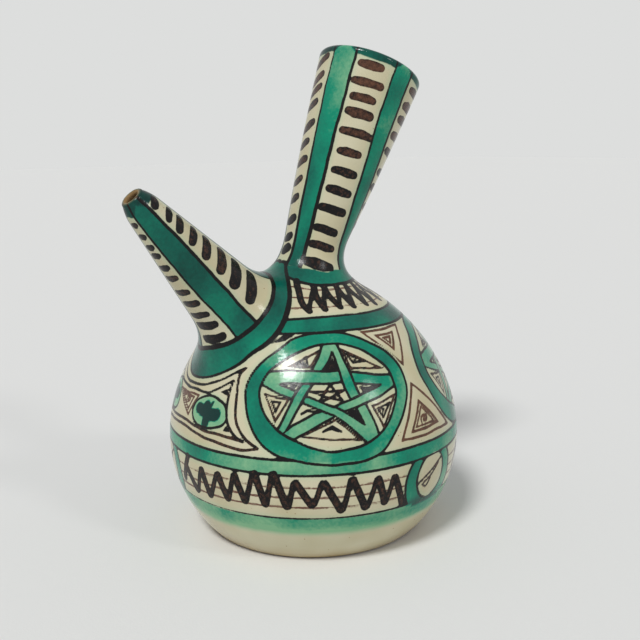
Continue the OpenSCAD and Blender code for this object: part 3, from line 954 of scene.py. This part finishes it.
def stripe(canvas, zone, turns, mmPerDegree, left, right, tone, halfLeft, halfRight):
    middle = wrap(turns - (left + right) / 2) * mmPerDegree
    lay(canvas, zone, "green", np.abs(middle) - (right - left) / 2 * mmPerDegree, tone)
    for edge, half in ((left, halfLeft), (right, halfRight)):
        lay(canvas, zone, "ink", np.abs(wrap(turns - edge) * mmPerDegree) - half, lineTone)


def paintNeck(canvas):
    points = canvas["points"]
    along, out = tubeParts(neckTube, points)
    turns = np.degrees(np.arctan2(-points[:, 1], -((points - neckFoot) @ neckAcross)))
    toFront = np.exp(-(canvas["turn"] / neckPaint["frontTurn"]) ** 2)
    ring = canvas["aboveRing"] - frieze["ringWide"] + neckPaint["frontNarrow"] * toFront
    lay(canvas, "offNeck", "green", ring - sway(np.radians(turns), 61, 0.7), neckPaint["ringWash"])
    canvas["offTube"] = np.maximum(canvas["offNeck"], -neckPaint["overlap"] - ring)
    down = np.clip(1 - along / neckPaint["reach"], 0, 1.1)
    for k, (left, right, driftLeft, driftRight) in enumerate(neckStripes):
        leftEdge = left + driftLeft * down ** 2 + sway(along / 14.0, 70 + k, 1.2)
        rightEdge = right + driftRight * down ** 2 + sway(along / 14.0, 80 + k, 1.2)
        grown = [first + growth * down for first, growth in neckPaint["stripe"]]
        stripe(canvas, "offTube", turns, np.radians(1) * out, leftEdge, rightEdge, *grown)
        following = neckStripes[(k + 1) % 5]
        hand = np.random.default_rng(90 + k)
        for at, dashLeft, dashRight in neckDashes if k in (0, 4) else neckDashes[:-1]:
            low = max(1 - at / neckPaint["reach"], 0) ** 2
            if k:
                at = max(at, neckPaint["lowest"]) + waver(hand, 1.0)
                dashLeft = right + driftRight * low + neckPaint["leftGap"] + hand.uniform(-1, 2)
                dashRight = following[0] + following[2] * low - neckPaint["rightGap"] + hand.uniform(-3, 2)
                dashRight += 360 if k == 4 else 0
            half = math.radians(dashRight - dashLeft) / 2 * float(neckRadius(at))
            thick = hand.uniform(*neckPaint["press"]) * (neckPaint["lowPress"] if at < 0 else 1.0)
            dash(canvas, "offTube", turns, along, out, (dashLeft + dashRight) / 2, at, half, thick,
                 neckSlant[k], darkTone - neckPaint["fade"] * at, hand)
    lip = neckPaint["lip"] + sway(np.radians(turns), 65, 1.0) - along
    lay(canvas, "offNeck", "green", lip, neckPaint["lipWash"])


# stripes and dashes of the spout, from its tip back
spoutStripes = ((-27.0, 27.0, 0.0, 0.0), (89.0, 149.0, 11.0, -19.0), (193.0, 250.0, 0.0, 0.0))
upperDashes = (6.5, 13.8, 19.5, 26.7, 34.0, 42.4, 50.5, 59.5)
lowerDashes = (8.5, 14.0, 19.3, 23.5, 29.5, 35.0, 42.3, 48.3, 54.5, 60.0, 65.8)
# each column's dashes, their rise, the cream left beside them, their half width at the tip and its growth
spoutColumns = ((upperDashes, 0.36, 9, 1.6, 1.35), (lowerDashes, 0.0, 8, 1.3, 0.55),
                (upperDashes, -0.36, 9, 1.6, 1.35))
spoutPaint = {"reach": 68.0, "tip": 5.0, "tipWash": 1.6, "ringWash": 1.1, "ringLine": 0.85,
              "outline": 0.6, "outlineGrowth": 0.6, "outlineTurn": 1.2, "outlineReach": 50,
              "stripe": (1.2, 0.7, 0.5)}  # wash and lines


def paintSpout(canvas):
    points = canvas["points"]
    along, out = tubeParts(spoutTube, points)
    back = spoutShape["length"] - along
    turns = spoutTurnOf(points)
    swing = np.radians(turns)
    ring = np.interp(turns % 360, ringStart[:, 0], ringStart[:, 1]) + sway(swing, 5, 0.3) - back
    lay(canvas, "offSpout", "green", ring, spoutPaint["ringWash"])
    lay(canvas, "offSpout", "ink", np.abs(ring) - spoutPaint["ringLine"], lineTone)
    edge = canvas["offSpout"]
    growth = np.clip(np.sin(spoutPaint["outlineTurn"] * np.abs(swing)), 0, 1)
    outline = spoutPaint["outline"] + spoutPaint["outlineGrowth"] * growth
    canvas["offAny"] = np.where(out > spoutPaint["outlineReach"], farOff, -farOff)
    lay(canvas, "offAny", "ink", np.abs(edge) - outline, lineTone)
    canvas["offCone"] = np.maximum(edge, -ring)
    share = np.clip(back / spoutPaint["reach"], 0, 1.2)
    for k, (left, right, driftLeft, driftRight) in enumerate(spoutStripes):
        leftEdge = left + driftLeft * share + sway(back / 12.0, 100 + k, 1.2)
        rightEdge = right + driftRight * share ** 1.5 + sway(back / 12.0, 110 + k, 1.2)
        stripe(canvas, "offCone", turns, np.radians(1) * out, leftEdge, rightEdge, *spoutPaint["stripe"])
        following = spoutStripes[(k + 1) % 3]
        hand = np.random.default_rng(120 + k)
        dashes, slant, margin, thick, thicken = spoutColumns[k]
        for at in dashes:
            low = at / spoutPaint["reach"]
            dashLeft = right + driftRight * low ** 1.5 + margin
            dashRight = following[0] + following[2] * low - margin + (360 if k == 2 else 0)
            half = math.radians(dashRight - dashLeft) / 2 * float(spoutRadius(spoutShape["length"] - at))
            wide = (thick + thicken * low) * hand.uniform(0.95, 1.1)
            dash(canvas, "offCone", turns, back, out, (dashLeft + dashRight) / 2, at, half, wide,
                 slant, strokeTone, hand)
    tip = back - spoutPaint["tip"] + sway(swing, 9, 0.6)
    lay(canvas, "offSpout", "green", tip, spoutPaint["tipWash"])


def paint(points, isInside, bare):
    count = len(points)
    canvas = {"points": points, "isOuter": ~isInside, "turn": turnOf(points), "aboveRing": aboveRing(points),
              "radius": np.hypot(points[:, 0], points[:, 1]),
              "arc": arcAt(np.minimum(points[:, 2], frieze["domeTop"]))}
    for name in ("ink", "green", "fine"):
        canvas[name] = np.full(count, farOff)
        canvas[name + "Tone"] = np.full(count, softTone)
    canvas["offMedallion"] = np.full(count, farOff)
    canvas["offSpout"] = overSurface(offSpout, points)
    canvas["offNeck"] = np.maximum(-overSurface(aboveRing, points), -canvas["offSpout"])
    canvas["offRest"] = -canvas["offSpout"]
    canvas["offBody"] = -np.minimum(canvas["offSpout"], canvas["offNeck"])
    paintBands(canvas)
    paintRoundels(canvas)
    paintMedallions(canvas)
    canvas["offRound"] = np.maximum(canvas["offBody"], medallion["margin"] - canvas["offMedallion"])
    paintCorners(canvas)
    paintPanel(canvas)
    paintShoulder(canvas)
    paintNeck(canvas)
    paintSpout(canvas)
    lipInside = neckPaint["lip"] - neckPaint["lipInside"] - tubeParts(neckTube, points)[0]
    canvas["green"] = np.where(isInside, np.maximum(lipInside, canvas["offNeck"]), canvas["green"])
    for name in ("ink", "fine"):
        canvas[name] = np.where(isInside, farOff, canvas[name])
    canvas["bare"] = bare
    return {name: canvas[name] for name in ("ink", "inkTone", "green", "greenTone", "fine", "bare")}


wallEdge = {"body": 1.5, "foot": 0.8, "neck": 2.2, "lip": 1.5, "rim": 0.3, "rimSharp": 6}


def wallsOf(piece, points):  # which points lie on an inner wall, and how far from the edge of the bare clay
    glazed = np.full(len(points), farOff)
    if piece is body:
        isInside = bodyGap(points) < -wallEdge["body"]
        return isInside, np.where(isInside, farOff, points[:, 2] - wallEdge["foot"])
    if piece is neck:
        along, out = tubeParts(neckTube, points)
        return (out < neckRadius(along) - wallEdge["neck"]) & (along < lipMid + wallEdge["lip"]), glazed
    if piece is spout:
        along, out = tubeParts(spoutTube, points)
        middle = (spoutRadius(along) + boreRadius(along)) / 2
        rimGap = np.where(along > rimAt - wallEdge["rim"], (out - middle) * wallEdge["rimSharp"], farOff)
        return out < middle - wallEdge["rim"], np.where(out < middle, -1.0, rimGap)
    return np.zeros(len(points), bool), glazed


for piece in pieces:
    points = places(piece)
    for name, values in paint(points, *wallsOf(piece, points)).items():
        kept = piece.data.attributes.new(name, "FLOAT", "POINT")
        kept.data.foreach_set("value", np.clip(values, -farOff, farOff).astype(np.float32))
print("painted")


def linear(code):  # sRGB hex to linear colour
    parts = [int(code[k:k + 2], 16) / 255 for k in (1, 3, 5)]
    return tuple(c / 12.92 if c <= 0.04045 else ((c + 0.055) / 1.055) ** 2.4 for c in parts) + (1.0,)


def addNode(tree, kind, settings, out=0):  # a value that is another node's output becomes a link
    made = tree.nodes.new("ShaderNode" + kind)
    for name, value in settings.items():
        if isinstance(value, bpy.types.NodeSocket):
            tree.links.new(value, made.inputs[name])
        elif isinstance(name, int) or name in made.inputs:
            made.inputs[name].default_value = value
        else:
            setattr(made, name, value)
    return made.outputs[out]


# tin-glazed earthenware: opaque cream glaze over tan clay, painted in copper green and manganese
# before firing, so it is glossy all over, the green pools and bleeds, and the manganese goes from
# brown where it is thin to black where it is thick
glazeLook = {"cream": "#cdc7aa", "creamWarm": "#c1b895", "speck": "#8a6a48", "bleed": "#9cc2a0",
             "greenThin": "#80b48a", "green": "#00886a", "greenDeep": "#006050", "greenPool": "#00302c",
             "fine": "#653e32", "inkThin": "#62402f", "ink": "#070506", "clay": "#977a50",
             "clayDark": "#735a3b", "tinge": "#a98b4e"}
# size of each cloud in millimetres, and its finer detail
cloudSizes = {"ragged": (1.0, 2.0), "unsteady": (4.5, 2.0), "cloud": (20.0, 1.0), "brushed": (1.6, 3.0),
              "grain": (0.55, 1.0), "orangePeel": (2.6, 2.0), "thrown": (12.0, 0.0)}
speckApart = 5.0
reliefDepth = 0.08
glaze = bpy.data.materials.new("tinGlazedEarthenware")
glaze.use_nodes = True
tree = glaze.node_tree
tree.nodes.clear()
tint = {name: linear(code) for name, code in glazeLook.items()}
objectAt = addNode(tree, "TexCoord", {}, "Object")
cloud = {}
for name, (size, detail) in cloudSizes.items():
    cloud[name] = addNode(tree, "TexNoise", {"Scale": 1 / (size * mm), "Detail": detail, "Vector": objectAt})
painted = {}
for name in ("ink", "inkTone", "green", "greenTone", "fine", "bare"):
    painted[name] = addNode(tree, "Attribute", {"attribute_name": name}, "Fac")

# what was painted, with clouds laid over it: ragged edges, uneven washes, and the glaze's faint relief
mixed = {}
for name, total, shares in (("inkEdge", painted["ink"], (("ragged", 0.3), ("unsteady", 0.3))),
                            ("fineEdge", painted["fine"], (("ragged", 0.5), ("unsteady", 0.8))),
                            ("greenEdge", painted["green"], (("ragged", 0.3), ("unsteady", 1.1))),
                            ("bareEdge", painted["bare"], (("ragged", 0.5),)),
                            ("greenDepth", painted["greenTone"], (("cloud", 1.9), ("brushed", 0.5))),
                            ("inkDepth", painted["inkTone"], (("brushed", 1.1), ("grain", 0.6))),
                            ("relief", cloud["orangePeel"], (("grain", 0.3), ("thrown", 4.0)))):
    for cloudName, share in shares:
        total = addNode(tree, "Math", {"operation": "MULTIPLY_ADD", 0: cloud[cloudName], 1: share, 2: total})
    mixed[name] = total
speckAt = addNode(tree, "TexVoronoi", {"Scale": 1 / (speckApart * mm), "Vector": objectAt}, "Distance")
ranged = {}
for name, value, fromLow, fromHigh, toLow, toHigh in (
        ("runOut", painted["greenTone"], -0.15, 0.0, 1.8, 0.3),  # a thin wash has a soft edge
        ("bleed", painted["green"], 2.8, 0.0, 0.0, 0.4),  # green runs a little way into the cream
        ("faint", cloud["unsteady"], 0.25, 0.55, 0.7, 1.0),
        ("warm", cloud["cloud"], 0.35, 0.7, 0.0, 1.0),
        ("speck", speckAt, 0.06, 0.04, 0.0, 1.0),  # a few iron specks
        ("green", mixed["greenDepth"], 1.15, 1.75, 0.0, 1.0),  # from a thin wash to a deep pool
        ("greenDeep", mixed["greenDepth"], 1.75, 2.35, 0.0, 1.0),
        ("greenPool", mixed["greenDepth"], 2.35, 3.0, 0.0, 1.0),
        ("thick", painted["ink"], -1.2, 0.0, 0.0, 0.25),
        ("tinged", painted["bare"], 7.0, 0.0, 0.0, 0.95),  # bare clay tinges the thin glaze beside it
        ("bare", mixed["bareEdge"], 0.4, 0.1, 0.0, 1.0),
        ("rough", cloud["cloud"], 0.3, 0.7, 0.1, 0.18)):
    ranged[name] = addNode(tree, "MapRange", {"Value": value, "From Min": fromLow, "From Max": fromHigh,
                                              "To Min": toLow, "To Max": toHigh})
mask = {}
for name, middle, soft in (("ink", 0.3, 0.15), ("fine", 0.65, 0.2), ("green", 0.7, ranged["runOut"])):
    low = addNode(tree, "Math", {"operation": "SUBTRACT", 0: middle, 1: soft})
    high = addNode(tree, "Math", {"operation": "ADD", 0: middle, 1: soft})
    mask[name] = addNode(tree, "MapRange", {"interpolation_type": "SMOOTHSTEP", "Value": mixed[name + "Edge"],
                                            "From Min": high, "From Max": low})
fineMask = addNode(tree, "Math", {"operation": "MULTIPLY", 0: mask["fine"], 1: ranged["faint"]})
tinged = addNode(tree, "Math", {"operation": "MULTIPLY", 0: ranged["tinged"], 1: cloud["cloud"]})
inkDepth = addNode(tree, "Math", {"operation": "ADD", 0: mixed["inkDepth"], 1: ranged["thick"]})
inkShare = addNode(tree, "MapRange", {"Value": inkDepth, "From Min": 1.1, "From Max": 1.7})

# colours, each over the last: cream, copper green, manganese that is brown where the brush ran dry, bare clay
wash = {}
greenSteps = [(ranged[name], name) for name in ("green", "greenDeep", "greenPool")]
for name, first, steps in (("green", "greenThin", greenSteps), ("ink", "inkThin", [(inkShare, "ink")]),
                           ("clay", "clay", [(cloud["grain"], "clayDark")])):
    under = tint[first]
    for share, tintName in steps:
        under = addNode(tree, "Mix", {"data_type": "RGBA", 0: share, 6: under, 7: tint[tintName]}, 2)
    wash[name] = under
colour = tint["cream"]
for share, over in ((ranged["warm"], tint["creamWarm"]), (ranged["speck"], tint["speck"]),
                    (ranged["bleed"], tint["bleed"]), (mask["green"], wash["green"]),
                    (fineMask, tint["fine"]), (mask["ink"], wash["ink"]), (tinged, tint["tinge"]),
                    (ranged["bare"], wash["clay"])):
    colour = addNode(tree, "Mix", {"data_type": "RGBA", 0: share, 6: colour, 7: over}, 2)

# gloss of the fired glaze, a little duller on the manganese and dull on bare clay
rough = ranged["rough"]
for where, share in ((mask["ink"], 0.1), (ranged["bare"], 0.6)):
    rough = addNode(tree, "Math", {"operation": "MULTIPLY_ADD", 0: where, 1: share, 2: rough})
bump = addNode(tree, "Bump", {"Strength": 1.0, "Distance": reliefDepth * mm, "Height": mixed["relief"]})
shader = addNode(tree, "BsdfPrincipled", {"IOR": 1.5, "Specular IOR Level": 0.25, "Base Color": colour,
                                          "Roughness": rough, "Normal": bump})
output = tree.nodes.new("ShaderNodeOutputMaterial")
tree.links.new(shader, output.inputs["Surface"])

for piece in pieces:
    piece.data.materials.clear()
    piece.data.materials.append(glaze)
for piece, nodeName, slotName in ((body, "body", "glazed_clay"), (neck, "neck", "glazed_clay"),
                                  (spout, "spout", "glazed_clay"), (neckCollar, "neck_collar", "green_glaze"),
                                  (spoutCollar, "spout_collar", "green_glaze")):
    piece.name = nodeName + "_glazed"
    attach(piece, "root")
    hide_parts(nodeName)
print("pieces glazed")

# pale studio floor and background, and far soft lamps from the left and the right
studio = {"floor": 12.0, "cloth": "#e6e6e4", "back": "#dddedd", "keyFrom": (-0.54, -0.27, 0.79),
          "fillFrom": (0.25, -0.8, 0.54), "keyWide": 13.0, "fillWide": 9.0, "keyPower": 1.85,
          "fillPower": 0.32, "sky": 0.42, "skyTint": "#f4f6f8", "weave": 1.2, "weaveDepth": 0.2,
          "clothRough": 0.9}
deselectAll()
bpy.ops.mesh.primitive_plane_add(size=studio["floor"])
floor = bpy.context.object
floor.name = "floor"
paleCloth = bpy.data.materials.new("paleFloorCloth")
paleCloth.use_nodes = True
tree = paleCloth.node_tree
clothAt = addNode(tree, "TexCoord", {}, "Object")
weave = addNode(tree, "TexNoise", {"Scale": 1 / (studio["weave"] * mm), "Vector": clothAt})
clothBump = addNode(tree, "Bump", {"Strength": 0.3, "Distance": studio["weaveDepth"] * mm, "Height": weave})
clothShader = tree.nodes["Principled BSDF"]
clothShader.inputs["Base Color"].default_value = linear(studio["cloth"])
clothShader.inputs["Roughness"].default_value = studio["clothRough"]
tree.links.new(clothBump, clothShader.inputs["Normal"])
floor.data.materials.append(paleCloth)
for name, way, wide, power in (("keyLamp", studio["keyFrom"], studio["keyWide"], studio["keyPower"]),
                               ("fillLamp", studio["fillFrom"], studio["fillWide"], studio["fillPower"])):
    bpy.ops.object.light_add(type="SUN", location=Vector(way) * 2)
    lamp = bpy.context.object
    lamp.name = name
    lamp.data.angle = math.radians(wide)
    lamp.data.energy = power
    lamp.rotation_euler = (-Vector(way)).to_track_quat("-Z", "Y").to_euler()
world = bpy.data.worlds.new("studio")
bpy.context.scene.world = world
world.use_nodes = True
tree = world.node_tree
isCamera = addNode(tree, "LightPath", {}, "Is Camera Ray")
isSeen = isCamera
for name in ("Is Glossy Ray", "Is Transmission Ray"):
    isSeen = addNode(tree, "Math", {"operation": "MAXIMUM", 0: isSeen, 1: isCamera.node.outputs[name]})
sky = addNode(tree, "Background", {"Color": linear(studio["skyTint"]), "Strength": studio["sky"]})
back = addNode(tree, "Background", {"Color": linear(studio["back"]), "Strength": 1.0})
seen = addNode(tree, "MixShader", {0: isSeen, 1: sky, 2: back})
tree.links.new(seen, tree.nodes["World Output"].inputs["Surface"])
bpy.context.scene.view_settings.view_transform = "Standard"
print("studio lit")
